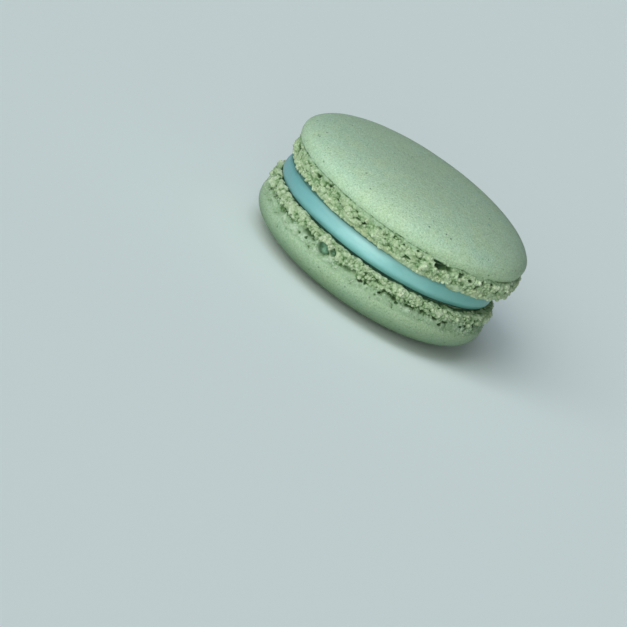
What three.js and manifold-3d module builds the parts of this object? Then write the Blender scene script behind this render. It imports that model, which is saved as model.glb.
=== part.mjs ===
// A macaron: two baked almond-meringue shells, flat side to flat side, with a disc of smooth
// filling between them. Each shell is one piece: a smooth dome on a ruffled, crumbly foot.
// Millimetres, +Z up. The macaron stands on the small flat spot of its bottom shell.
import * as THREE from "three";
import { mergeVertices } from "three/addons/utils/BufferGeometryUtils.js";
import Module from "manifold-3d";

const wasm = await Module();
wasm.setup();

// Driving dimensions. Heights go up from the bottom of the macaron.
const shellRadius = 22.4; // the widest ring of a dome
const bottomFlatSide = 10.05; // flat side of the bottom shell, under the filling
const topFlatSide = 13.45; // flat side of the top shell, on the filling
const topLean = THREE.MathUtils.degToRad(0.5); // the top shell sits a little crooked
const topShift = 0.12; // and a little to one side
const fillingRadius = 21.0; // at its bulge
const fillingTuck = 0.6; // its wall curls in by this towards both edges
const fillingShift = -0.4; // it was pressed a little to the other side
const fillingWaves = [
  { turns: 2, depth: 0.16, phase: 0.6 },
  { turns: 5, depth: 0.1, phase: 2.1 },
];
const seatGap = 0.05; // between the filling and the shell that leans on it

// One shell, with its flat side at height 0 and its dome upwards. The wall of its foot is a row of
// radii at even heights. Its seen bubbles are [bearing from the front in degrees, share of the
// foot's height, half length, half height].
const topShape = {
  footHeight: 3.86,
  domeHeight: 6.72, // from the crease above the foot to the crown
  waist: 1.36, // from the crease to the widest ring
  domeRound: 2.83, // exponents of the dome's superellipse
  domeFall: 1.8,
  creaseInset: 0.32, // the crease lies this far inside the dome
  footBulge: 0.4, // how far the foot swells to one side
  wall: [21.3, 21.95, 22.15, 22.25, 22.35, 22.35, 22.25, 22.15, 22.05],
  seenBubbles: [
    [24.5, 0.76, 1.3, 0.6],
    [-11.5, 0.5, 0.6, 0.4],
    [-43.3, 0.75, 0.65, 0.4],
    [-68.5, 0.65, 0.8, 0.55],
  ],
  upward: 1,
  seed: 11,
};
const bottomShape = {
  footHeight: 3.62,
  domeHeight: 6.43,
  waist: 0.75,
  domeRound: 3.0,
  domeFall: 2.5,
  creaseInset: 0.15,
  footBulge: -0.12,
  wall: [21.35, 21.9, 22.1, 22.25, 22.3, 22.2, 22.1, 22.1, 22.2],
  seenBubbles: [
    [-20.6, 0.58, 1.1, 0.75],
    [-47, 0.75, 0.5, 0.35],
    [2, 0.75, 0.6, 0.35],
    [18.4, 0.6, 0.6, 0.4],
    [30, 0.65, 1.1, 0.35],
    [48, 0.72, 0.6, 0.35],
    [63.5, 0.68, 0.6, 0.4],
  ],
  upward: -1,
  seed: 47,
};
const flatSpotRadius = 7; // a shell is level over this radius at its crown
const lipSink = 1; // the dome reaches this far down inside the foot
const footSink = 0.2; // and the foot this far up inside the dome
const wallStart = 19.5; // the level part of the flat side ends here
const wallFoot = 0.12; // height of the wall's lowest ring

// The crumb of a foot. Depths and sizes of its relief.
const crumb = {
  ruffleSize: 3.4,
  ruffleDepth: 0.8,
  cragSize: 1.9,
  cragDepth: 0.9,
  flatness: 0.76, // height of a ruffle or crag against its length
  calmHeight: 1.2, // the relief is weaker below this height
  calmShare: 0.4, // and down to this share of itself at the flat side
  edgeWave: 0.5, // the edge of the flat side is ragged by this much
  edgeBand: 0.8, // over this height
  edgeTeeth: 8, // lattice points of the ragged edge from its middle to its rim
};

// Burst bubbles in the foot. Each is an uneven hollow, longest along the wall. Those that can't be
// seen from the front lie in an uneven row under the dome.
const pit = {
  depth: 1.15,
  unevenness: 0.7,
  count: 9,
  firstBearing: 82,
  lastBearing: 278,
  stray: 0.8, // how far each strays from its even place, as a share of the space between two
  lowest: 0.6, // shares of the foot's height
  highest: 0.9,
  smallest: 0.45,
  spread: 0.6,
  length: 1.4, // against its height
};

const domeSegments = 64;
const domeRows = 10;
const footSegments = 144;
const fillingSegments = 80;
const fillingRows = 7;

// Smooth noise from 0 to 1, with one lattice point for each unit of length.
function lattice(i, j, k) {
  const n = Math.sin(i * 127.1 + j * 311.7 + k * 74.7) * 43758.5453;
  return n - Math.floor(n);
}

function noise(x, y, z) {
  const [i, j, k] = [Math.floor(x), Math.floor(y), Math.floor(z)];
  const ease = (t) => t * t * (3 - 2 * t);
  const [u, v, w] = [ease(x - i), ease(y - j), ease(z - k)];
  const mix = THREE.MathUtils.lerp;
  const edge = (dj, dk) => mix(lattice(i, j + dj, k + dk), lattice(i + 1, j + dj, k + dk), u);
  return mix(mix(edge(0, 0), edge(1, 0), v), mix(edge(0, 1), edge(1, 1), v), w);
}

// A run of repeatable random numbers from 0 to 1.
function randomRun(seed) {
  let state = seed * 7919;
  return () => {
    state = (state * 16807) % 2147483647;
    return state / 2147483647;
  };
}

function solid(geometry) {
  geometry.deleteAttribute("normal");
  geometry.deleteAttribute("uv");
  const merged = mergeVertices(geometry, 1e-4);
  const mesh = new wasm.Mesh({
    numProp: 3,
    vertProperties: merged.attributes.position.array,
    triVerts: new Uint32Array(merged.index.array),
  });
  return new wasm.Manifold(mesh);
}

function geometryOf(manifold) {
  const { vertProperties, triVerts } = manifold.getMesh();
  const geometry = new THREE.BufferGeometry();
  geometry.setAttribute("position", new THREE.BufferAttribute(vertProperties, 3));
  geometry.setIndex(new THREE.BufferAttribute(triVerts, 1));
  geometry.computeVertexNormals();
  return geometry;
}

// A profile of [radius, height] pairs turned round the Z axis.
function turned(profile, segments) {
  const points = profile.map(([r, z]) => new THREE.Vector2(r, z));
  return new THREE.LatheGeometry(points, segments).rotateX(Math.PI / 2);
}

// Moves each vertex of a turned body by the radial offset and lift that change(angle, r, z) gives.
function reshaped(geometry, change) {
  const position = geometry.attributes.position;
  for (let i = 0; i < position.count; i++) {
    const [x, y, z] = [position.getX(i), position.getY(i), position.getZ(i)];
    const r = Math.hypot(x, y);
    const angle = Math.atan2(y, x);
    const { out, up } = change(angle, r, z);
    position.setXYZ(i, (r + out) * Math.cos(angle), (r + out) * Math.sin(angle), z + up);
  }
  return geometry;
}

// The smooth dome, from inside the foot, round its curled-in lip and up to the level crown.
function dome({ footHeight, domeHeight, waist, domeRound, domeFall, creaseInset }) {
  const widest = footHeight + waist;
  const rise = domeHeight - waist;
  const crown = footHeight + domeHeight;
  const profile = [
    [0, footHeight - lipSink],
    [shellRadius - creaseInset - 2 * lipSink, footHeight - lipSink],
  ];
  for (const down of [1, 0.85, 0.6, 0]) {
    profile.push([shellRadius - creaseInset * down ** 3, widest - waist * down]);
  }
  for (let n = 1; n < domeRows; n++) {
    const r = shellRadius * Math.cos((n / domeRows) * (Math.PI / 2)) ** (2 / domeRound);
    if (r <= flatSpotRadius) break;
    profile.push([r, widest + rise * (1 - (r / shellRadius) ** domeRound) ** (1 / domeFall)]);
  }
  profile.push([flatSpotRadius, crown], [0, crown]);
  return turned(profile, domeSegments);
}

// How far the crumb of a foot stands out: broad ruffles, and sharper crags on them.
function crumbRelief(angle, r, z, { footBulge, seed }) {
  const [x, y] = [r * Math.cos(angle), r * Math.sin(angle)];
  const at = (size) => noise(x / size + seed, y / size, z / (size * crumb.flatness));
  const ruffle = at(crumb.ruffleSize) - 0.5;
  const crag = Math.abs(2 * at(crumb.cragSize) - 1) - 0.5;
  const strength = THREE.MathUtils.lerp(crumb.calmShare, 1, Math.min(1, z / crumb.calmHeight));
  return footBulge * Math.cos(angle) + strength * (crumb.ruffleDepth * ruffle + crumb.cragDepth * crag);
}

// The foot: level on its flat side, with a ragged, swollen wall up to the crease.
function foot(shape) {
  const { footHeight, wall, seed } = shape;
  const top = footHeight + footSink;
  const rings = wall.map((radius, n) => {
    const height = THREE.MathUtils.lerp(wallFoot, footHeight, n / (wall.length - 1));
    return [radius, height];
  });
  const profile = [[0, 0], [wallStart, 0], ...rings, [wall[0] - lipSink, top], [0, top]];
  return reshaped(turned(profile, footSegments), (angle, r, z) => {
    const onWall = THREE.MathUtils.smoothstep(r, wallStart, wall[0]);
    const onEdge = onWall * Math.max(0, 1 - z / crumb.edgeBand);
    const [across, along] = [crumb.edgeTeeth * Math.cos(angle), crumb.edgeTeeth * Math.sin(angle)];
    const ragged = noise(across + seed, along, seed);
    return { out: onWall * crumbRelief(angle, r, z, shape), up: onEdge * crumb.edgeWave * ragged };
  });
}

// One burst bubble: a round hollow pushed in and out by noise, stretched along the wall.
function bubble(halfLength, halfHeight, seed) {
  const geometry = new THREE.IcosahedronGeometry(1, 1);
  const position = geometry.attributes.position;
  const corner = new THREE.Vector3();
  for (let i = 0; i < position.count; i++) {
    corner.fromBufferAttribute(position, i);
    const push = 1 + pit.unevenness * (noise(corner.x + seed, corner.y, corner.z) - 0.5);
    corner.multiplyScalar(push);
    position.setXYZ(i, corner.x, corner.y, corner.z);
  }
  const deep = pit.depth * Math.sqrt(halfLength * halfHeight);
  return geometry.scale(halfLength, deep, halfHeight);
}

// Every bubble of a foot: the seen ones, and then the row round the back.
function bubblesOf({ seenBubbles, seed }) {
  const random = randomRun(seed);
  const bubbles = [...seenBubbles];
  for (let n = 0; n < pit.count; n++) {
    const along = (n + pit.stray * random()) / pit.count;
    const bearing = THREE.MathUtils.lerp(pit.firstBearing, pit.lastBearing, along);
    const share = THREE.MathUtils.lerp(pit.lowest, pit.highest, random());
    const size = pit.smallest + pit.spread * random() ** 2;
    bubbles.push([bearing, share, pit.length * size, size]);
  }
  return bubbles;
}

function pits(shape) {
  const { footHeight, upward, seed } = shape;
  const made = bubblesOf(shape).map(([bearing, share, halfLength, halfHeight], n) => {
    const angle = upward * THREE.MathUtils.degToRad(bearing - 90);
    const hollow = bubble(halfLength, halfHeight, seed + n);
    hollow.rotateZ(angle + Math.PI / 2);
    hollow.translate(shellRadius * Math.cos(angle), shellRadius * Math.sin(angle), share * footHeight);
    return solid(hollow);
  });
  return wasm.Manifold.union(made);
}

function shell(name, shape, material) {
  const body = solid(dome(shape)).add(solid(foot(shape))).subtract(pits(shape));
  const mesh = new THREE.Mesh(geometryOf(body), material);
  mesh.name = name;
  return mesh;
}

// The filling: a disc with a bulging wall that curls in at both edges. Its top follows the lean.
function filling(material) {
  const thickness = topFlatSide - bottomFlatSide;
  const profile = [[0, 0]];
  for (let n = 0; n <= fillingRows; n++) {
    const t = n / fillingRows;
    profile.push([fillingRadius - fillingTuck * (2 * t - 1) ** 2, thickness * t]);
  }
  profile.push([0, thickness]);
  const disc = reshaped(turned(profile, fillingSegments), (angle, r, z) => {
    const wave = fillingWaves.reduce((sum, w) => sum + w.depth * Math.sin(w.turns * angle + w.phase), 0);
    const x = r * Math.cos(angle) + fillingShift - topShift;
    const tilt = x * Math.tan(topLean) - seatGap;
    return { out: wave * Math.min(1, r / fillingRadius) ** 4, up: (z / thickness) * tilt };
  });
  disc.translate(fillingShift, 0, 0);
  const mesh = new THREE.Mesh(geometryOf(solid(disc)), material);
  mesh.name = "filling";
  mesh.position.z = bottomFlatSide;
  return mesh;
}

const bakedAlmond = new THREE.MeshStandardMaterial({ color: 0xb0d0ae, roughness: 0.75, metalness: 0 });
const smoothCream = new THREE.MeshStandardMaterial({ color: 0x84c8c8, roughness: 0.35, metalness: 0 });

const bottomShell = shell("bottom_shell", bottomShape, bakedAlmond);
bottomShell.rotation.x = Math.PI;
bottomShell.position.z = bottomFlatSide;

const topShell = shell("top_shell", topShape, bakedAlmond);
topShell.rotation.y = -topLean;
topShell.position.set(topShift, 0, topFlatSide);

const macaron = new THREE.Group();
macaron.name = "macaron";
macaron.add(bottomShell, filling(smoothCream), topShell);

export default macaron;
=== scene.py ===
import math

import bmesh
import bpy
import numpy as np
from mathutils import Matrix, Vector


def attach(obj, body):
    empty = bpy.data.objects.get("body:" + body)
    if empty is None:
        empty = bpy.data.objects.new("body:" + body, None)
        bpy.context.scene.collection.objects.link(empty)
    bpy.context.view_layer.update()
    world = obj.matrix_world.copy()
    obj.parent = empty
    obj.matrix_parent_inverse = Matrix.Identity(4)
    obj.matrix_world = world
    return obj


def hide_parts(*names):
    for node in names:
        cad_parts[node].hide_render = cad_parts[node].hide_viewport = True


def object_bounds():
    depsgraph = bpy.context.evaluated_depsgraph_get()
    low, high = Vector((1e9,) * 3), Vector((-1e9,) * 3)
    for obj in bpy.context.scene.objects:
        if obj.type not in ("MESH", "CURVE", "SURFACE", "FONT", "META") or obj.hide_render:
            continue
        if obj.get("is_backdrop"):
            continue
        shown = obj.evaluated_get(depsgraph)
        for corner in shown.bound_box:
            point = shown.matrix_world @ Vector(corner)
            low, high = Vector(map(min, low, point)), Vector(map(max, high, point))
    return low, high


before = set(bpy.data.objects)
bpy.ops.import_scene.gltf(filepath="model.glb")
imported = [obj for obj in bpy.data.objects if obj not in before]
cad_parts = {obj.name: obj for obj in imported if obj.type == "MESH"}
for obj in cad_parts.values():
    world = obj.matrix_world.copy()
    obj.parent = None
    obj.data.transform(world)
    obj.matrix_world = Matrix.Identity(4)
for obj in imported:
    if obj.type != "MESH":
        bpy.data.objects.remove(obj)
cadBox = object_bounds()
print("frame loaded")

# Shapes are worked out in millimetres, with every piece's place in its mesh.
mm = 0.001


def lattice(i, j, k):
    # a fixed number from 0 to 1 for each lattice point: the fraction of a large multiple of a sine
    n = np.sin(i * 127.1 + j * 311.7 + k * 74.7) * 43758.5453
    return n - np.floor(n)


def blend(low, high, t):
    # low at t = 0, high at t = 1, a straight line between
    return low + (high - low) * t


def smoothStep(start, end, t):
    # 0 up to start, 1 from end on, 3s^2 - 2s^3 between
    s = np.clip((t - start) / (end - start), 0, 1)
    return s * s * (3 - 2 * s)


def noise(x, y, z):
    # smooth value noise from 0 to 1: the eight lattice numbers round a point, blended along each axis
    i, j, k = np.floor(x), np.floor(y), np.floor(z)
    u, v, w = (smoothStep(0, 1, t) for t in (x - i, y - j, z - k))

    def edge(dj, dk):
        return blend(lattice(i, j + dj, k + dk), lattice(i + 1, j + dj, k + dk), u)

    return blend(blend(edge(0, 0), edge(1, 0), v), blend(edge(0, 1), edge(1, 1), v), w)


def grains(x, y, z, seed):
    # balls of different sizes packed together, one in each unit cube. A ball stands out by
    # height * sqrt(1 - (d / size)^2) over the distance d to its middle, and the tallest one counts.
    i, j, k = np.floor(x), np.floor(y), np.floor(z)
    tallest = np.zeros(x.shape)
    for n in range(27):
        a, b, c = i + n % 3 - 1, j + n // 3 % 3 - 1, k + n // 9 - 1
        dx = a + lattice(a + seed, b, c) - x
        dy = b + lattice(a, b + seed, c) - y
        dz = c + lattice(a, b, c + seed) - z
        size = 0.5 + 0.45 * lattice(a - seed, b, c)
        dome = np.sqrt(np.clip(1 - (dx * dx + dy * dy + dz * dz) / size**2, 0, 1))
        tallest = np.maximum(tallest, dome * (0.35 + 0.65 * size))
    return tallest


def softened(values, reach):
    # the mean over the neighbours in a square of the grid, twice over. Columns join up, rows do not.
    side = 2 * reach + 1
    for _ in range(2):
        values = sum(np.roll(values, n - reach, 1) for n in range(side)) / side
        padded = np.pad(values, ((reach, reach), (0, 0)), mode="edge")
        values = sum(padded[n:n + len(values)] for n in range(side)) / side
    return values


def pieceOf(name, points, corners, sizes, attributes):
    # a smooth-shaded piece from points in millimetres, the faces' corners in one run and each face's size
    mesh = bpy.data.meshes.new(name)
    mesh.vertices.add(len(points))
    mesh.vertices.foreach_set("co", (points * mm).astype(np.float32).ravel())
    mesh.loops.add(len(corners))
    mesh.loops.foreach_set("vertex_index", corners.astype(np.int32))
    mesh.polygons.add(len(sizes))
    mesh.polygons.foreach_set("loop_start", (np.cumsum(sizes) - sizes).astype(np.int32))
    mesh.update(calc_edges=True)
    mesh.shade_smooth()
    for key, values in attributes.items():
        mesh.attributes.new(key, "FLOAT", "POINT").data.foreach_set("value", values.astype(np.float32))
    piece = bpy.data.objects.new(name, mesh)
    bpy.context.scene.collection.objects.link(piece)
    print(name + ":", len(sizes), "faces")
    return piece


def closedGrid(name, x, y, z, attributes):
    # a closed surface from arrays of rows by columns: columns go round and join up, and the first and
    # last rows are single points, the poles. Faces point out where rows go up on the outside.
    rows, columns = x.shape
    inner = np.stack([x, y, z], -1)[1:-1].reshape(-1, 3)
    ends = [[x[0, 0], y[0, 0], z[0, 0]], [x[-1, 0], y[-1, 0], z[-1, 0]]]
    first, last = len(inner), len(inner) + 1
    here = np.arange(columns)
    following = (here + 1) % columns
    low = (np.arange(rows - 3) * columns)[:, None]
    quads = np.stack([low + here, low + following, low + columns + following, low + columns + here], -1)
    top = (rows - 3) * columns
    fans = np.concatenate([
        np.stack([np.full(columns, first), following, here], -1),
        np.stack([np.full(columns, last), top + here, top + following], -1),
    ])
    corners = np.concatenate([quads.ravel(), fans.ravel()])
    sizes = np.concatenate([np.full(quads.size // 4, 4), np.full(len(fans), 3)])
    flat = {
        key: np.concatenate([values[1:-1].ravel(), [values[0, 0], values[-1, 0]]])
        for key, values in attributes.items()
    }
    return pieceOf(name, np.concatenate([inner, ends]), corners, sizes, flat)


def evenRows(r, z, spacing, rounding, step=0.02):
    # walks along a profile of radius and height in equal small steps, rounds its corners with a bell
    # curve of width rounding, and then keeps points that lie spacing(r, z) apart
    along = np.concatenate([[0], np.cumsum(np.hypot(np.diff(r), np.diff(z)))])
    walk = np.arange(0, along[-1], step)
    r, z = np.interp(walk, along, r), np.interp(walk, along, z)
    reach = int(3 * rounding / step)
    bell = np.exp(-0.5 * (np.arange(-reach, reach + 1) * step / rounding) ** 2)
    bell /= bell.sum()
    r, z = (np.convolve(np.pad(values, reach, mode="edge"), bell, "valid") for values in (r, z))
    r[0] = r[-1] = 0
    rows = np.cumsum(step / spacing(r, z))
    kept = np.interp(np.linspace(rows[0], rows[-1], int(rows[-1]) + 1), rows, walk)
    return np.interp(kept, walk, r), np.interp(kept, walk, z)


baking = {
    "radius": 22.4,  # widest ring of a dome
    "rounding": 0.12,  # how soft the profile's corners are
    "columns": 1000,
    "footSpacing": 0.125,  # rows of the mesh on the foot
    "rimSpacing": 0.27,  # then at the dome's rim, and in the middle of both sides
    "middleSpacing": 1.1,
    # size and depth of each kind of relief in the crumb, from broad ruffles down to fine foam
    "ruffle": (3.4, 0.6),
    "crag": (1.9, 0.45),
    "clump": (1.9, 0.5),
    "crumble": (1.05, 0.32),
    "grain": (0.55, 0.11),
    "fizz": (0.3, 0.1),
    "flatness": 0.8,  # height of all of these against their length
    "warp": 0.55,  # how far noise pushes their places about
    "crumbStart": (19.6, 20.2),  # the relief sets in between these radii
    # outer and inner radius of the painted shade in the gap round the filling, how ragged it is and how dark
    "paintedGapShade": (20.98, 20.65, 0.45, 0.9),
    "middleShade": 0.53,  # middle of the crumb's painted shade, then how much darker or paler it is painted for standing out over the neighbours
    "shadeReach": ((2, 0.85), (6, 0.7), (12, 0.45)),  # that are this many places away
    # of hollows drawn at random: half height of the smallest and how much larger the largest is, the
    # lowest one's share of the foot's height and how far they spread, and the darkness of their painted shade
    # likewise
    "hollowSize": (0.12, 0.26),
    "hollowShare": (0.3, 0.55),
    "hollowDarkness": (0.65, 0.35),
    "hollowRagged": 0.9,  # how far noise changes their outlines, and that of a glazed one
    "glazedRagged": 0.25,
    "unevenDome": ((14.0, 0.16), (5.0, 0.06)),  # size and depth
}

# Heights are measured from each half's flat side, so down from it in the lower half.
topHalf = {
    "node": "top_shell",
    "flatSide": 13.45,
    "lean": math.radians(0.5),
    "shift": 0.12,  # towards +X
    "up": 1,
    "footHeight": 3.86,
    "domeHeight": 6.72,
    "waist": 1.36,  # height of the widest ring over the crease
    "domeRound": 2.83,  # powers of the dome's superellipse
    "domeFall": 1.8,
    "creaseInset": 0.32,  # how far the crease lies inside the widest ring
    "footBulge": 0.4,  # how far the foot swells towards +X
    "seed": 11,
    # radius and height of the profile's points from the flat side up the foot's wall
    "wall": ((19.4, 0.0), (20.9, 0.0), (21.6, 0.12), (21.95, 0.5), (22.2, 1.3), (22.35, 2.3),
             (22.25, 3.1), (22.1, 3.7)),
    # the clumps end in a ledge: its share of the foot's height, how far it wanders and how soft it is
    "ledge": (0.88, 0.5, 0.5),
    "pastLedge": 0.25,  # how much of the broad relief goes on past the ledge
    "foamEnd": (-0.1, 0.1),  # the fine foam fades out here, from the crease
    "lipWave": 0.1,  # how far the crease wanders up and down, in broad waves and raggedly
    "lipRagged": 0.1,
    "lumpiness": 0.75,  # depth of the clumps and crumbles
    "contrast": 0.93,  # of the painted shade between the crumb's tips and the places deep between them
    "paleEdge": 0.17,  # how much paler the crumb is next to the filling
    "paleFoam": 0.0,  # and past the ledge
    "toasted": 1.0,  # how far it is browned
    "edgeLumps": 0.0,  # how much of the clumps stands on the edge next to the filling
    # grooves: height from the ledge or the crease, half height, depth and how much of each is there
    "ledgeGroove": (0.2, 0.25, 0.2, 0.4),
    "lipGroove": (-0.06, 0.1, 0.18, 0.8),
    # burst bubbles that show from the front: bearing in degrees, share of the foot's height, then
    # half width, half height and depth, and how dark they are painted inside as painted shade, or below 0 how
    # glazed
    "hollows": (
        (24.4, 0.88, 1.0, 0.2, 0.9, 1.0),
        (27.2, 0.75, 1.25, 0.62, 1.6, 0.85),
        (31.0, 0.78, 0.95, 0.42, 1.0, 0.5),
        (32.6, 0.04, 1.5, 0.55, 0.8, 0.0),
        (37.5, 0.82, 0.55, 0.28, 0.8, 0.75),
        (42.5, 0.72, 0.6, 0.3, 0.8, 0.75),
        (51, 0.74, 0.5, 0.3, 0.8, 0.7),
        (57, 0.8, 0.6, 0.3, 0.8, 0.75),
        (-11.3, 0.49, 0.5, 0.34, 0.9, 0.9),
        (-14.5, 0.52, 0.6, 0.22, 0.6, 0.7),
        (-71, 0.56, 1.15, 0.6, 1.4, 1.0),
        (-66, 0.46, 0.6, 0.45, 0.9, 0.9),
        (-43.3, 0.75, 0.62, 0.36, 1.1, 1.0),
        (-34.6, 0.82, 0.45, 0.24, 0.9, 0.9),
        (-27.6, 0.58, 0.5, 0.2, 0.8, 0.9),
        (-52, 0.47, 0.4, 0.25, 0.7, 0.9),
        (-4.3, 0.8, 0.5, 0.22, 0.5, -0.5),
        (7.9, 0.79, 0.28, 0.16, 0.5, 0.8),
        (14.1, 0.88, 0.3, 0.16, 0.6, 0.9),
    ),
    "moreHollows": 34,
}

bottomHalf = {
    "node": "bottom_shell",
    "flatSide": 10.05,
    "lean": 0.0,
    "shift": 0.0,
    "up": -1,
    "footHeight": 3.62,
    "domeHeight": 6.43,
    "waist": 0.75,
    "domeRound": 3.0,
    "domeFall": 2.5,
    "creaseInset": 0.15,
    "footBulge": -0.12,
    "seed": 47,
    "wall": ((18.6, 0.0), (20.3, 0.0), (20.6, 0.24), (21.0, 0.22), (21.5, 0.1), (21.9, 0.2),
             (22.15, 0.75), (22.3, 1.5), (22.15, 2.3), (22.1, 3.0), (22.22, 3.5)),
    "ledge": (0.6, 1.3, 0.4),
    "pastLedge": 0.6,
    "foamEnd": (0.0, 0.6),
    "lipWave": 0.45,
    "lipRagged": 0.4,
    "lumpiness": 1.0,
    "contrast": 1.35,
    "paleEdge": 0.04,
    "paleFoam": 0.12,
    "toasted": 0.45,
    "edgeLumps": 0.5,
    "ledgeGroove": (0.2, 0.4, 0.55, 0.68),
    "lipGroove": (0.0, 0.1, 0.05, 0.4),
    "hollows": (
        (-19.8, 0.62, 1.3, 1.0, 1.3, -1.0),
        (-14.6, 0.5, 0.7, 0.65, 0.8, -0.8),
        (-62, 0.55, 1.7, 0.5, 0.9, 0.6),
        (-47.5, 0.62, 0.8, 0.4, 0.9, 0.9),
        (-29.5, 0.6, 1.9, 0.65, 0.9, 0.5),
        (-5.3, 0.66, 1.7, 0.6, 0.6, 0.38),
        (-47, 0.75, 0.4, 0.25, 1.0, 1.0),
        (-33.6, 0.8, 0.22, 0.2, 1.0, 1.0),
        (-26.5, 0.66, 0.6, 0.2, 0.6, 0.5),
        (1.4, 0.78, 0.45, 0.28, 1.0, 0.75),
        (8.5, 0.6, 0.3, 0.2, 0.9, 1.0),
        (11.4, 0.75, 0.33, 0.26, 1.4, 1.0),
        (18.4, 0.6, 0.52, 0.26, 1.4, 1.0),
        (26.5, 0.66, 1.1, 0.24, 0.9, 0.8),
        (33.6, 0.62, 0.7, 0.28, 1.0, 0.9),
        (41, 0.68, 0.8, 0.24, 1.0, 0.9),
        (48, 0.72, 0.6, 0.28, 1.1, 1.0),
        (63.5, 0.68, 0.6, 0.34, 1.1, 1.0),
    ),
    "moreHollows": 46,
}


def halfProfile(half):
    # along the flat side, up the foot's wall, in at the crease, round the lip by a cube, and over the
    # dome, the superellipse (r / radius)^round + (height / rise)^fall = 1
    radius = baking["radius"]
    widest = half["footHeight"] + half["waist"]
    rise = half["domeHeight"] - half["waist"]
    wall = np.array(half["wall"])
    lip = np.linspace(1, 0, 12)
    turn = np.linspace(0, np.pi / 2, 400)[1:]
    r = np.concatenate([
        [0],
        wall[:, 0],
        radius - half["creaseInset"] * lip**3,
        radius * np.cos(turn) ** (2 / half["domeRound"]),
    ])
    z = np.concatenate([
        [0],
        wall[:, 1],
        widest - half["waist"] * lip,
        widest + rise * np.sin(turn) ** (2 / half["domeFall"]),
    ])

    def spacing(r, z):
        # fine on the foot, wider up the dome and on the hidden middle of the flat side
        onRim = smoothStep(half["footHeight"] + 0.5, widest + 0.5, z)
        inwards = np.where(z > 1, smoothStep(22.2, 15, r), smoothStep(20.4, 19, r))
        rim = blend(baking["footSpacing"], baking["rimSpacing"], onRim)
        return blend(rim, baking["middleSpacing"], inwards)

    return evenRows(r, z, spacing, baking["rounding"])


def grooveDepth(groove, height, chance):
    # a bell curve over the height from the groove's middle, where chance lets the groove be at all
    middle, reach, depth, coverage = groove
    there = smoothStep(1 - coverage, 1.25 - coverage, chance)
    return depth * there * np.exp(-((height - middle) / reach) ** 2)


def hollowsOf(half):
    # the burst bubbles seen from the front, then smaller ones drawn at random
    yield from half["hollows"]
    draw = np.random.default_rng(half["seed"])
    smallest, larger = baking["hollowSize"]
    lowest, higher = baking["hollowShare"]
    palest, darker = baking["hollowDarkness"]
    for n in range(half["moreHollows"]):
        size = smallest + larger * draw.random() ** 3
        share = lowest + higher * draw.random() ** 0.7
        bearing = 360 * (n + draw.random()) / half["moreHollows"]
        width = size * (1 + 0.9 * draw.random())
        yield bearing, share, width, size, 0.3 + 1.2 * size, palest + darker * draw.random()


def hollowDepth(half, angle, z, aside, lift):
    # the deepest of the hollows at each place, depth * (1 - d^2)^0.7 inside an ellipse, once noise has
    # pushed the place aside and up, and how dark that hollow's painted shade is and how glazed it is
    deepest, dark, glazed = (np.zeros(angle.shape) for _ in range(3))
    for bearing, share, width, height, depth, darkness in hollowsOf(half):
        middle = half["up"] * math.radians(bearing - 90)
        across = (angle - middle + np.pi) % (2 * np.pi) - np.pi
        ragged = baking["hollowRagged" if darkness > 0 else "glazedRagged"]
        du = across * baking["radius"] / width + ragged * aside
        dv = (z - share * half["footHeight"]) / height + ragged * lift
        inside = np.clip(1 - du * du - dv * dv, 0, 1) ** 0.7
        deeper = depth * inside > deepest
        dark = np.where(deeper, inside * max(0, darkness), dark)
        glazed = np.where(deeper, inside * max(0, -darkness), glazed)
        deepest = np.maximum(deepest, depth * inside)
    return deepest, dark, glazed


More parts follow.
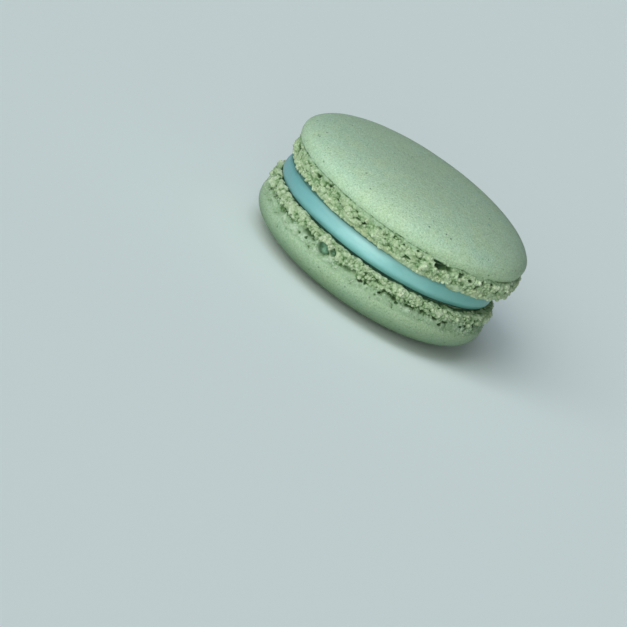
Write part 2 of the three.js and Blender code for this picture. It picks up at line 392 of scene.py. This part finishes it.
def crumbRelief(half, angle, r, z):
    # how far the foot's crumb stands out: ruffles, crags and clumps up to the ledge, fine foam up to
    # the dome, and grooves and hollows sunk into them. Also how much of each place is foam and clumps,
    # its painted shade, darker where it lies deep under its neighbours and in grooves and paler where it
    # stands out, the painted shade inside its hollow and in the gap round the filling, and how glazed it is.
    seed = half["seed"]
    x, y = r * np.cos(angle), r * np.sin(angle)

    def at(size, offset=0.0):
        return x / size + seed, y / size + offset, z / (size * baking["flatness"]) - offset

    def rough(key):
        size, depth = baking[key]
        return depth * (noise(*at(size)) - 0.5)

    def packed(key):
        size, depth = baking[key]
        px, py, pz = at(size)
        warp = baking["warp"] / max(size, 0.8)
        return depth * (grains(px + warp * aside, py - warp * aside, pz + warp * lift, seed) - 0.55)

    aside = noise(*at(1.1)) - 0.5 + 0.45 * (noise(*at(0.5, 20)) - 0.5)
    lift = noise(*at(1.1, 40)) - 0.5 + 0.45 * (noise(*at(0.5, 70)) - 0.5)
    size, depth = baking["crag"]
    crag = depth * (np.abs(2 * noise(*at(size)) - 1) - 0.5)
    broad = (rough("ruffle") + crag) * blend(0.35, 1, smoothStep(0, 1.2, z))
    broad = broad + half["footBulge"] * np.cos(angle)
    clump = half["lumpiness"] * packed("clump") * blend(half["edgeLumps"], 1, smoothStep(0.1, 1.3, z))
    grainy = blend(0.4, 1.3, smoothStep(0.3, 0.7, noise(*at(3.1, 130))))
    fine = packed("grain") + rough("fizz")

    share, wander, softness = half["ledge"]
    pastLedge = z - share * half["footHeight"] + wander * (noise(*at(2.8, 30)) - 0.5) + 0.5 * lift
    lipLine = half["footHeight"] - half["lipWave"] * (noise(*at(2.2)) - 0.5)
    pastCrease = z - lipLine + half["lipRagged"] * lift
    outside = smoothStep(*baking["crumbStart"], r)
    clumps = outside * (1 - smoothStep(-softness, softness, pastLedge))
    foam = outside * (1 - smoothStep(*half["foamEnd"], pastCrease))
    body = clumps * (broad + clump) + (foam - clumps) * half["pastLedge"] * broad
    body = body + foam * (grainy * fine + blend(0.5, 1, clumps) * half["lumpiness"] * packed("crumble"))

    ledgeGroove = grooveDepth(half["ledgeGroove"], pastLedge, noise(*at(1.7, 90)))
    lipGroove = grooveDepth(half["lipGroove"], pastCrease, noise(*at(1.7, 110)))
    hollow, dark, glazed = hollowDepth(half, angle, z, aside, lift)
    outer, inner, ragged, darkness = baking["paintedGapShade"]
    # painted shade in the gap round the filling, raggedly
    paintedGapShade = outside * smoothStep(outer, inner, np.hypot(x - cream["shift"], y) + ragged * lift)
    # painted shade: darker where the crumb lies deep under its neighbours, paler where it stands out
    standing = sum(weight * (body - softened(body, reach)) for reach, weight in baking["shadeReach"])
    paintedShade = baking["middleShade"] + half["contrast"] * standing
    # painted shade in the grooves and in the gap round the filling
    paintedShade = paintedShade - 0.8 * ledgeGroove - 1.8 * lipGroove - 0.4 * paintedGapShade
    paintedShade = paintedShade + half["paleEdge"] * smoothStep(1.5, 0.5, z) + half["paleFoam"] * (foam - clumps)
    body = body * (1 - 0.7 * glazed)
    relief = body - foam * np.maximum(np.maximum(ledgeGroove, lipGroove), hollow)
    rim = smoothStep(half["footHeight"] + 3, half["footHeight"] + 0.4, z)
    toast = half["toasted"] * smoothStep(0.42, 0.7, noise(*at(1.4, 50)))
    toast = toast * blend(1, 0.35, smoothStep(0.5, 2, z)) * smoothStep(0.2, 0.65, noise(*at(0.5, 60)))
    return relief, {
        "crumb": foam, "clumps": clumps, "paintedShade": np.clip(paintedShade, 0, 1),
        "toast": toast, "rim": rim * blend(0.35, 1.2, smoothStep(-12, 16, x)),
        "hollow": np.maximum(dark, darkness * paintedGapShade), "glaze": glazed,
    }


def domeRelief(half, x, y, z):
    # the dome's skin is a little uneven: two sizes of noise, each as deep as it says
    return sum(
        depth * (noise(x / size + half["seed"], y / size, z / size) - 0.5)
        for size, depth in baking["unevenDome"]
    )


def bakedHalf(half):
    # each row of the profile goes round the axis, and each point moves out along the profile's
    # normal by the crumb's or the dome's relief. The half is then turned over or leant, and lifted.
    r, z = halfProfile(half)
    dr, dz = np.gradient(r), np.gradient(z)
    length = np.hypot(dr, dz)
    angle = np.linspace(0, 2 * np.pi, baking["columns"], endpoint=False)[None, :]
    angle = np.repeat(angle, len(r), axis=0)
    r, z, outward, upward = (np.repeat(values[:, None], baking["columns"], 1)
                             for values in (r, z, dz / length, -dr / length))
    crumb, looks = crumbRelief(half, angle, r, z)
    x, y = r * np.cos(angle), r * np.sin(angle)
    onDome = smoothStep(half["footHeight"], half["footHeight"] + 1.5, z)
    push = crumb + onDome * domeRelief(half, x, y, z)
    push[[0, -1]] = 0
    onWall = (z > loose["above"]) & (r > loose["beyond"])
    inset = r + push * outward
    x, y, z = inset * np.cos(angle), inset * np.sin(angle), z + push * upward
    lean = half["lean"]
    x, y, z = (
        x * math.cos(lean) - z * math.sin(lean) + half["shift"],
        y * half["up"],
        half["flatSide"] + (x * math.sin(lean) + z * math.cos(lean)) * half["up"],
    )
    piece = closedGrid("baked_" + half["node"], x, y, z, looks)
    finishAlmond(piece)
    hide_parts(half["node"])
    looseGrains(half, np.stack([x, y, z], -1), onWall, looks)


loose = {
    "count": 2250,  # grains on each foot
    "above": 0.25,  # they lie above this height and beyond this radius
    "beyond": 21.2,
    "smallest": 0.1,  # radius of the smallest, and how much larger the largest is
    "spread": 0.3,
    "squash": 0.35,  # how far they are from round, and how dented
    "dents": 0.3,
    "foamShare": 0.5,  # how many lie on the foam, past the ledge, for each on the clumps
    "foamShade": 0.1,  # how much paler they are there, and their size
    "foamSize": 0.6,
    "footShade": 0.6,  # how much they take on of the foot's painted shade, and how much paler they are
    "paler": 0.26,
    "unevenShade": 0.2,
    "tipShade": 0.14,  # how much paler their outer sides are, as painted light where they face out
}


def looseGrains(half, place, onWall, looks):
    # the finest crumb: squashed, dented balls strewn over the foot's wall and sunk into it to
    # different depths, turned every way by random quaternions
    draw = np.random.default_rng(half["seed"] + 1)
    count = loose["count"]
    around = np.roll(place, -1, 1) - np.roll(place, 1, 1)
    outward = np.cross(around, np.gradient(place, axis=0))
    outward /= np.linalg.norm(outward, axis=-1, keepdims=True) + 1e-9
    where = place * (0.6, 0.6, 0.75)
    patches = smoothStep(0.25, 0.6, noise(where[..., 0], where[..., 1], where[..., 2]))
    onFoam = looks["crumb"] - looks["clumps"]
    weight = onWall * (looks["clumps"] + loose["foamShare"] * onFoam)
    weight = weight * (0.15 + patches) * (1 - np.maximum(looks["hollow"], looks["glaze"])) ** 8
    chosen = draw.choice(weight.size, count, p=weight.ravel() / weight.sum())

    ball = bmesh.new()
    bmesh.ops.create_icosphere(ball, subdivisions=2, radius=1)
    sphere = np.array([corner.co for corner in ball.verts])
    faces = np.array([[corner.index for corner in face.verts] for face in ball.faces])
    ball.free()

    radius = loose["smallest"] + loose["spread"] * draw.random(count) ** 2
    radius = radius * blend(loose["foamSize"], 1, looks["clumps"].ravel()[chosen])
    stretch = 1 + loose["squash"] * (2 * draw.random((count, 1, 3)) - 1)
    dents = 1 + loose["dents"] * (draw.random((count, len(sphere), 1)) - 0.5)
    quaternion = draw.normal(size=(4, count))
    a, b, c, d = quaternion / np.linalg.norm(quaternion, axis=0)
    turn = np.stack([
        1 - 2 * (c * c + d * d), 2 * (b * c - a * d), 2 * (b * d + a * c),
        2 * (b * c + a * d), 1 - 2 * (b * b + d * d), 2 * (c * d - a * b),
        2 * (b * d - a * c), 2 * (c * d + a * b), 1 - 2 * (b * b + c * c),
    ], -1).reshape(count, 3, 3)
    corners = np.einsum("nij,nvj->nvi", turn, sphere[None] * stretch * dents)
    facing = outward.reshape(-1, 3)[chosen][:, None]
    depth = radius * (draw.random(count) * 0.8 - 0.7)
    middle = place.reshape(-1, 3)[chosen][:, None] + facing * depth[:, None, None]
    points = (middle + corners * radius[:, None, None]).reshape(-1, 3)
    tip = (corners * facing).sum(-1)

    def spread(values):
        return np.repeat(values.ravel()[chosen], len(sphere))

    paintedShade = (loose["footShade"] * looks["paintedShade"] + loose["foamShade"] * onFoam).ravel()[chosen]
    paintedShade = paintedShade + loose["paler"] + loose["unevenShade"] * (draw.random(count) - 0.5)
    # painted light: each grain is paler on its side facing out from the foot
    paintedShade = paintedShade[:, None] + loose["tipShade"] * tip
    toast = looks["toast"].ravel()[chosen] * 0.6 + 0.4 * half["toasted"] * draw.random(count) ** 3
    every = (faces[None] + (np.arange(count) * len(sphere))[:, None, None]).ravel()
    piece = pieceOf(half["node"].replace("shell", "crumbs"), points, every, np.full(count * len(faces), 3), {
        "crumb": np.ones(len(points)),
        "clumps": spread(looks["clumps"]),
        "paintedShade": np.clip(paintedShade, 0, 1).ravel(),
        "toast": np.repeat(np.clip(toast, 0, 1), len(sphere)),
        "rim": np.zeros(len(points)),
        "hollow": np.zeros(len(points)),
        "glaze": np.zeros(len(points)),
    })
    finishAlmond(piece)


def finishAlmond(piece):
    piece.data.materials.append(almondMaterial())
    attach(piece, "root")


cream = {
    "radius": 21.0,  # at its bulge
    "tuckLow": (0.36, 0.72),  # the wall curls in below this share of the height, by this much at the edge
    "tuckHigh": (0.3, 0.6),
    "low": 10.05,
    "high": 13.45,
    "shift": -0.4,
    "sink": 0.3,  # reaches this far into both halves, so that no slit of light shows
    "waves": ((2, 0.16, 0.6), (5, 0.1, 2.1), (9, 0.06, 4.0)),  # turns, depth and phase
    "streaks": ((2.5, 3.0, 0.16), (6.0, 7.0, 0.07)),  # how many round and up, and depth
    "columns": 900,
    "wallRows": 60,
}


def fillingPiece():
    # a disc whose wall is upright in the middle and curls in by a square towards both edges, with
    # waves that go round it and streaks from spreading. Its top follows the lean of the upper half.
    t = np.linspace(0, 1, cream["wallRows"])
    lowEnd, lowTuck = cream["tuckLow"]
    highStart, highTuck = cream["tuckHigh"]
    tuck = lowTuck * np.clip(1 - t / lowEnd, 0, 1) ** 2
    tuck = tuck + highTuck * np.clip((t - highStart) / (1 - highStart), 0, 1) ** 2
    wall = 1 - tuck / cream["radius"]
    inner = np.array([0, 0.45, 0.8, 0.93])
    share = np.concatenate([inner, wall, inner[::-1]])
    level = np.concatenate([np.zeros(len(inner)), t, np.ones(len(inner))])
    angle = np.linspace(0, 2 * np.pi, cream["columns"], endpoint=False)[None, :]
    share, level, angle = np.broadcast_arrays(share[:, None], level[:, None], angle)
    wave = sum(depth * np.sin(turns * angle + phase) for turns, depth, phase in cream["waves"])
    for along, up, depth in cream["streaks"]:
        wave = wave + depth * (noise(along * np.cos(angle) + up, along * np.sin(angle), up * level) - 0.5)
    r = cream["radius"] * share + wave * share**4
    x, y = r * np.cos(angle) + cream["shift"], r * np.sin(angle)
    low = cream["low"] - cream["sink"]
    high = cream["high"] + cream["sink"] + x * math.tan(topHalf["lean"])
    z = blend(low, high, level)
    piece = closedGrid("cream_filling", x, y, z, {"level": level})
    piece.data.materials.append(creamMaterial())
    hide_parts("filling")
    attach(piece, "root")


class Wire:
    # one socket of a node tree. Sums and products of wires add the Math nodes that work them out.
    def __init__(self, tree, socket=None):
        self.tree = tree
        self.socket = socket

    def node(self, kind, settings, inputs, output=0):
        made = self.tree.nodes.new(kind)
        stops = settings.pop("stops", None)
        for name, value in settings.items():
            setattr(made, name, value)
        if stops:
            ramp = made.color_ramp
            while len(ramp.elements) < len(stops):
                ramp.elements.new(0.5)
            for element, (place, colour) in zip(ramp.elements, stops):
                element.position, element.color = place, (*colour, 1)
        for key, value in inputs.items():
            if isinstance(value, Wire):
                self.tree.links.new(value.socket, made.inputs[key])
            else:
                made.inputs[key].default_value = value
        return Wire(self.tree, made.outputs[output])

    def maths(self, operation, first, second):
        return self.node("ShaderNodeMath", {"operation": operation}, {0: first, 1: second})

    def __add__(self, other):
        return self.maths("ADD", self, other)

    def __sub__(self, other):
        return self.maths("SUBTRACT", self, other)

    def __mul__(self, other):
        return self.maths("MULTIPLY", self, other)

    def __rsub__(self, other):
        return self.maths("SUBTRACT", other, self)

    __radd__ = __add__
    __rmul__ = __mul__

    def mix(self, first, second):
        # first and second are colours, and this wire says how much of the second
        first, second = ((*colour, 1) if isinstance(colour, tuple) else colour for colour in (first, second))
        return self.node("ShaderNodeMix", {"data_type": "RGBA"}, {0: self, 6: first, 7: second}, 2)

    def between(self, low, high):
        # 0 below low, 1 above high, smooth between
        settings = {"interpolation_type": "SMOOTHSTEP"}
        return self.node("ShaderNodeMapRange", settings, {0: self, 1: low, 2: high})


def startMaterial(name):
    material = bpy.data.materials.new(name)
    material.use_nodes = True
    tree = material.node_tree
    tree.nodes.clear()
    return material, Wire(tree)


def finishMaterial(material, settings, links):
    # the shader's constant values sit on its own sockets, and links are what changes over the surface
    tree = material.node_tree
    shader = tree.nodes.new("ShaderNodeBsdfPrincipled")
    for key, value in settings.items():
        shader.inputs[key].default_value = value
    for key, link in links.items():
        tree.links.new(link.socket, shader.inputs[key])
    output = tree.nodes.new("ShaderNodeOutputMaterial")
    tree.links.new(shader.outputs[0], output.inputs["Surface"])


almond = {
    "dome": (0.384, 0.557, 0.376),
    "domeCool": (0.372, 0.560, 0.400),
    "domeWarm": (0.412, 0.562, 0.328),
    "domeLight": (0.545, 0.71, 0.52),
    "domeDark": (0.23, 0.36, 0.22),
    "pore": (0.07, 0.14, 0.08),
    "fleck": (0.10, 0.36, 0.30),
    # the crumb by its painted shade, from dark deep between the grains to pale on their tips
    "crumb": (
        (0.0, (0.042, 0.092, 0.026)),
        (0.2, (0.118, 0.225, 0.085)),
        (0.48, (0.305, 0.445, 0.244)),
        (0.75, (0.45, 0.585, 0.366)),
        (1.0, (0.62, 0.73, 0.52)),
    ),
    "crumbGreen": (0.32, 0.48, 0.32),
    "crumbToast": (0.43, 0.472, 0.245),
    "glaze": (0.030, 0.115, 0.052),
    "glazePaintedLight": (0.23, 0.47, 0.33),
    # painted shade inside the hollows and in the gap round the filling, then at its darkest
    "hollow": (0.045, 0.108, 0.034),
    "hollowDeep": (0.006, 0.046, 0.026),
    "shadow": (0.066, 0.135, 0.05),
    "underside": 0.8,  # how much of the painted shadow colour the lowest part of the lower half has
}


def almondMaterial():
    found = bpy.data.materials.get("baked almond")
    if found:
        return found
    material, wire = startMaterial("baked almond")
    place = wire.node("ShaderNodeTexCoord", {}, {}, 3)
    height = wire.node("ShaderNodeSeparateXYZ", {}, {0: place}, 2)

    def grainAt(scale, detail=2.0, roughness=0.5):
        return wire.node("ShaderNodeTexNoise", {},
                         {"Vector": place, "Scale": scale, "Detail": detail, "Roughness": roughness})

    def cellsAt(scale, output):
        return wire.node("ShaderNodeTexVoronoi", {}, {"Vector": place, "Scale": scale}, output)

    def attribute(name):
        return wire.node("ShaderNodeAttribute", {"attribute_name": name}, {}, 2)

    def dotsAt(scale, low, high, kept, channel):
        # round dots at the middles of some of the cells
        chosen = wire.node("ShaderNodeSeparateColor", {}, {0: cellsAt(scale, 1)}, channel)
        edge = cellsAt(scale, 0) + grainAt(2.5 * scale) * 0.1
        return (1 - edge.between(low, high)) * chosen.between(kept, kept + 0.03)

    crumb, clumps, paintedShade, toast, rim, hollow, glaze = (
        attribute(name) for name in ("crumb", "clumps", "paintedShade", "toast", "rim", "hollow", "glaze")
    )
    powder = grainAt(3500, 3, 0.9)
    sugar = (0.75 - cellsAt(2300, 0)) + (0.75 - cellsAt(3900, 0)) * 0.6  # fine grains, high in their middles
    dome = grainAt(110, 3).between(0.36, 0.64).mix(almond["dome"], almond["domeCool"])
    dome = (grainAt(380, 4).between(0.42, 0.66) * 0.5).mix(dome, almond["domeWarm"])
    dome = (rim * 0.8).mix(dome, almond["domeWarm"])
    dome = (grainAt(850, 2).between(0.36, 0.64) * 0.2).mix(dome, almond["domeLight"])
    dome = (powder.between(0.5, 0.69) * 0.95).mix(dome, almond["domeLight"])
    dome = ((1 - powder.between(0.33, 0.5)) * 0.95).mix(dome, almond["domeDark"])
    pore = dotsAt(330, 0.07, 0.12, 0.4, 0) + dotsAt(700, 0.13, 0.22, 0.75, 1) * 0.8
    dome = (pore * 0.85).mix(dome, almond["pore"])
    dome = (dotsAt(170, 0.08, 0.14, 0.93, 1) * 0.5).mix(dome, almond["fleck"])
    along = wire.node("ShaderNodeMapping", {}, {0: place, 2: (0, 0, 0.5), 3: (350, 4200, 900)})
    scuff = wire.node("ShaderNodeTexNoise", {}, {"Vector": along, "Scale": 1.0, "Detail": 1.0})
    scuff = scuff.between(0.6, 0.72) * grainAt(90, 2).between(0.54, 0.66)
    dome = (scuff * 0.5).mix(dome, almond["domeLight"])

    # the crumb's colours follow its painted shade, with noise and the sugar grains' tones
    paintedShade = paintedShade + (grainAt(2600, 3, 0.7) - 0.5) * 0.5 + (sugar - 0.55) * 0.3
    foot = wire.node("ShaderNodeValToRGB", {"stops": almond["crumb"]}, {0: paintedShade})
    foot = ((1 - clumps) * 0.6 * paintedShade.between(0.1, 0.5)).mix(foot, almond["crumbGreen"])
    foot = ((1 - clumps) * 0.6 * paintedShade.between(0.6, 0.9)).mix(foot, almond["domeLight"])
    foot = (toast * 0.6 * paintedShade.between(0.3, 0.7)).mix(foot, almond["crumbToast"])
    # a glazed hollow: teal, darker at its rim as painted shade and paler in patches in its middle as painted
    # light
    wet = glaze.between(0.45, 0.9) * grainAt(900, 2).between(0.35, 0.62)
    wet = wet.mix(almond["glaze"], almond["glazePaintedLight"])
    foot = (glaze.between(0.1, 0.6) * 0.85).mix(foot, wet)
    # painted shade inside the hollows and in the gap round the filling
    foot = hollow.between(0.1, 0.5).mix(foot, almond["hollow"])
    foot = hollow.between(0.65, 0.95).mix(foot, almond["hollowDeep"])
    colour = crumb.mix(dome, foot)
    # painted shade: the lower half is a little darker all over and much darker towards its lowest point; the
    # upper half is left out
    shadow = 0.12 + almond["underside"] * (1 - height.between(0.0003, 0.0082))
    colour = (shadow * (1 - height.between(0.0095, 0.0105))).mix(colour, almond["shadow"])

    bumps = powder * (1.1 + 0.9 * crumb) + grainAt(700, 2) * 0.8 - pore * 0.8 + crumb * sugar * 1.2
    normal = wire.node("ShaderNodeBump", {}, {"Strength": 0.6, "Distance": 0.00016, "Height": bumps})
    rough = 0.58 + 0.12 * powder + 0.25 * crumb - 0.45 * glaze
    finishMaterial(
        material,
        {"Subsurface Weight": 0.08, "Subsurface Radius": (0.6, 1.0, 0.5), "Subsurface Scale": 0.0005,
         "Specular IOR Level": 0.4},
        {"Base Color": colour, "Roughness": rough, "Normal": normal},
    )
    return material


creamFinish = {
    "colour": (0.21, 0.49, 0.475),
    "colourLight": (0.275, 0.575, 0.56),
    # darker, for painted shade towards the lower edge
    "shadedLowColour": (0.16, 0.435, 0.4),
    "coolShadedSide": (0.126, 0.34, 0.345),  # towards -X, bluer and darker there as painted shade
    "greenShadedSide": (0.160, 0.470, 0.425),  # towards +X, greener and darker there as painted shade
    "creviceShadeColour": (0.006, 0.075, 0.045),  # painted shade in the narrow gaps at the filling's lower and upper edges
}


def creamMaterial():
    material, wire = startMaterial("smooth cream")
    place = wire.node("ShaderNodeTexCoord", {}, {}, 3)
    level = wire.node("ShaderNodeAttribute", {"attribute_name": "level"}, {}, 2)
    across = wire.node("ShaderNodeSeparateXYZ", {}, {0: place}, 0)
    cloudy = wire.node("ShaderNodeTexNoise", {}, {"Vector": place, "Scale": 260, "Detail": 3.0})
    fine = wire.node("ShaderNodeTexNoise", {}, {"Vector": place, "Scale": 1400, "Detail": 3.0})
    colour = (cloudy.between(0.35, 0.7) * 0.6).mix(creamFinish["colour"], creamFinish["colourLight"])
    # painted shade: darker towards the filling's lower edge
    colour = (1 - level.between(0.08, 0.45)).mix(colour, creamFinish["shadedLowColour"])
    # painted shade: bluer and darker towards -X
    colour = (1 - across.between(-0.0205, -0.002)).mix(colour, creamFinish["coolShadedSide"])
    # a greener tone towards +X, darker there as painted shade
    colour = (0.8 * across.between(0.006, 0.019)).mix(colour, creamFinish["greenShadedSide"])
    # painted shadow where the upper half's foot overhangs the filling's top, and painted shade in the gap at
    # its lower edge
    paintedShadowUnderFoot = 0.3 * (level + 0.2 * (cloudy - 0.5)).between(0.68, 0.88) + 0.45 * level.between(0.84, 0.9)
    paintedCreviceShade = (1 - level.between(0.085, 0.135)) + paintedShadowUnderFoot
    colour = paintedCreviceShade.mix(colour, creamFinish["creviceShadeColour"])
    bumps = 1.4 * cloudy + 0.9 * fine
    normal = wire.node("ShaderNodeBump", {}, {"Strength": 0.3, "Distance": 0.0002, "Height": bumps})
    rough = 0.32 + 0.2 * cloudy + 0.6 * paintedCreviceShade
    finishMaterial(
        material,
        {"Subsurface Weight": 0.2, "Subsurface Radius": (0.5, 1.0, 1.0), "Subsurface Scale": 0.0008,
         "Specular IOR Level": 0.78},
        {"Base Color": colour, "Roughness": rough, "Normal": normal},
    )
    return material


shot = {
    "imageSide": 627,
    "subjectPixel": (393, 230),  # where the middle of the macaron lies in the picture
    "pixelsPerMm": 5.87,
    "distance": 450,
    "elevation": 15.3,
    "roll": 34.9,
    "subject": (0.26, 0, 11.49),  # the middle of the macaron
    "sensorWidth": 36,
}


def addCamera():
    # looks down on the front by the elevation and is rolled, so that the macaron leans in the picture.
    # It aims beside the macaron by the pixels that lie between the macaron and the picture's middle.
    elevation, roll = math.radians(shot["elevation"]), math.radians(shot["roll"])
    back = Vector((0, -math.cos(elevation), math.sin(elevation)))
    side = Vector((1, 0, 0))
    up = back.cross(side)
    right = math.cos(roll) * side + math.sin(roll) * up
    above = math.cos(roll) * up - math.sin(roll) * side
    subject = Vector(shot["subject"])
    half = shot["imageSide"] / 2
    offRight = (shot["subjectPixel"][0] - half) / shot["pixelsPerMm"]
    offUp = (half - shot["subjectPixel"][1]) / shot["pixelsPerMm"]
    eye = subject + back * shot["distance"]
    aim = subject - right * offRight - above * offUp
    looking = (eye - aim).normalized()
    right = above.cross(looking).normalized()
    above = looking.cross(right)
    camera = bpy.data.objects.new("camera", bpy.data.cameras.new("camera"))
    bpy.context.scene.collection.objects.link(camera)
    camera.matrix_world = Matrix.Translation(eye * mm) @ Matrix((right, above, looking)).transposed().to_4x4()
    camera.data.sensor_width = shot["sensorWidth"]
    camera.data.lens = shot["sensorWidth"] * shot["pixelsPerMm"] * (eye - aim).length / shot["imageSide"]
    camera.data.clip_start, camera.data.clip_end = 0.01, 20
    bpy.context.scene.camera = camera
    print("camera placed")


studio = {
    "floorColour": (0.825, 0.935, 0.896),
    "floorPale": (0.95, 0.98, 0.98),
    "floorReach": 4.0,
    "skyColour": (0.9, 1.0, 1.06),
    "skyStrength": 0.12,
    "lampWidth": math.radians(40),  # how wide each lamp looks, which makes its light soft
    # bearing from the front towards +X, elevation, power and colour of each
    "lamps": {
        "low": (-6, 10, 1.75, (1.0, 1.0, 0.95)),
        "key": (-35, 32, 1.36, (1.0, 1.0, 1.0)),
        "high": (-30, 60, 0.68, (0.95, 1.0, 1.18)),
    },
}


def addFloor():
    reach = studio["floorReach"]
    corners = [(-reach, -reach, 0), (reach, -reach, 0), (reach, reach, 0), (-reach, reach, 0)]
    mesh = bpy.data.meshes.new("floor")
    mesh.from_pydata(corners, [], [(0, 1, 2, 3)])
    floor = bpy.data.objects.new("floor", mesh)
    bpy.context.scene.collection.objects.link(floor)
    material, wire = startMaterial("pale floor")
    place = wire.node("ShaderNodeTexCoord", {}, {}, 3)
    soft = wire.node("ShaderNodeTexNoise", {}, {"Vector": place, "Scale": 30, "Detail": 3.0})
    colour = (soft * 0.04).mix(studio["floorColour"], studio["floorPale"])
    finishMaterial(material, {"Roughness": 0.95, "Specular IOR Level": 0.0}, {"Base Color": colour})
    mesh.materials.append(material)
    floor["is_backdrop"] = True


def addLights():
    world = bpy.data.worlds.new("studio")
    world.use_nodes = True
    background = world.node_tree.nodes["Background"]
    background.inputs["Color"].default_value = (*studio["skyColour"], 1)
    background.inputs["Strength"].default_value = studio["skyStrength"]
    bpy.context.scene.world = world
    for name, (bearing, elevation, power, colour) in studio["lamps"].items():
        bearing, elevation = math.radians(bearing), math.radians(elevation)
        toLamp = Vector((
            math.sin(bearing) * math.cos(elevation),
            -math.cos(bearing) * math.cos(elevation),
            math.sin(elevation),
        ))
        data = bpy.data.lights.new(name, "SUN")
        data.angle, data.energy, data.color = studio["lampWidth"], power, colour
        lamp = bpy.data.objects.new(name, data)
        lamp.rotation_mode = "QUATERNION"
        lamp.rotation_quaternion = toLamp.to_track_quat("Z", "Y")
        bpy.context.scene.collection.objects.link(lamp)
    print("studio lit")


addCamera()
addFloor()
addLights()
bakedHalf(bottomHalf)
fillingPiece()
bakedHalf(topHalf)
bpy.context.scene.view_settings.view_transform = "Standard"

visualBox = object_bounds()
boxes = {"cad": cadBox, "visual": visualBox}
{name: [list(corner) for corner in box] for name, box in boxes.items()}
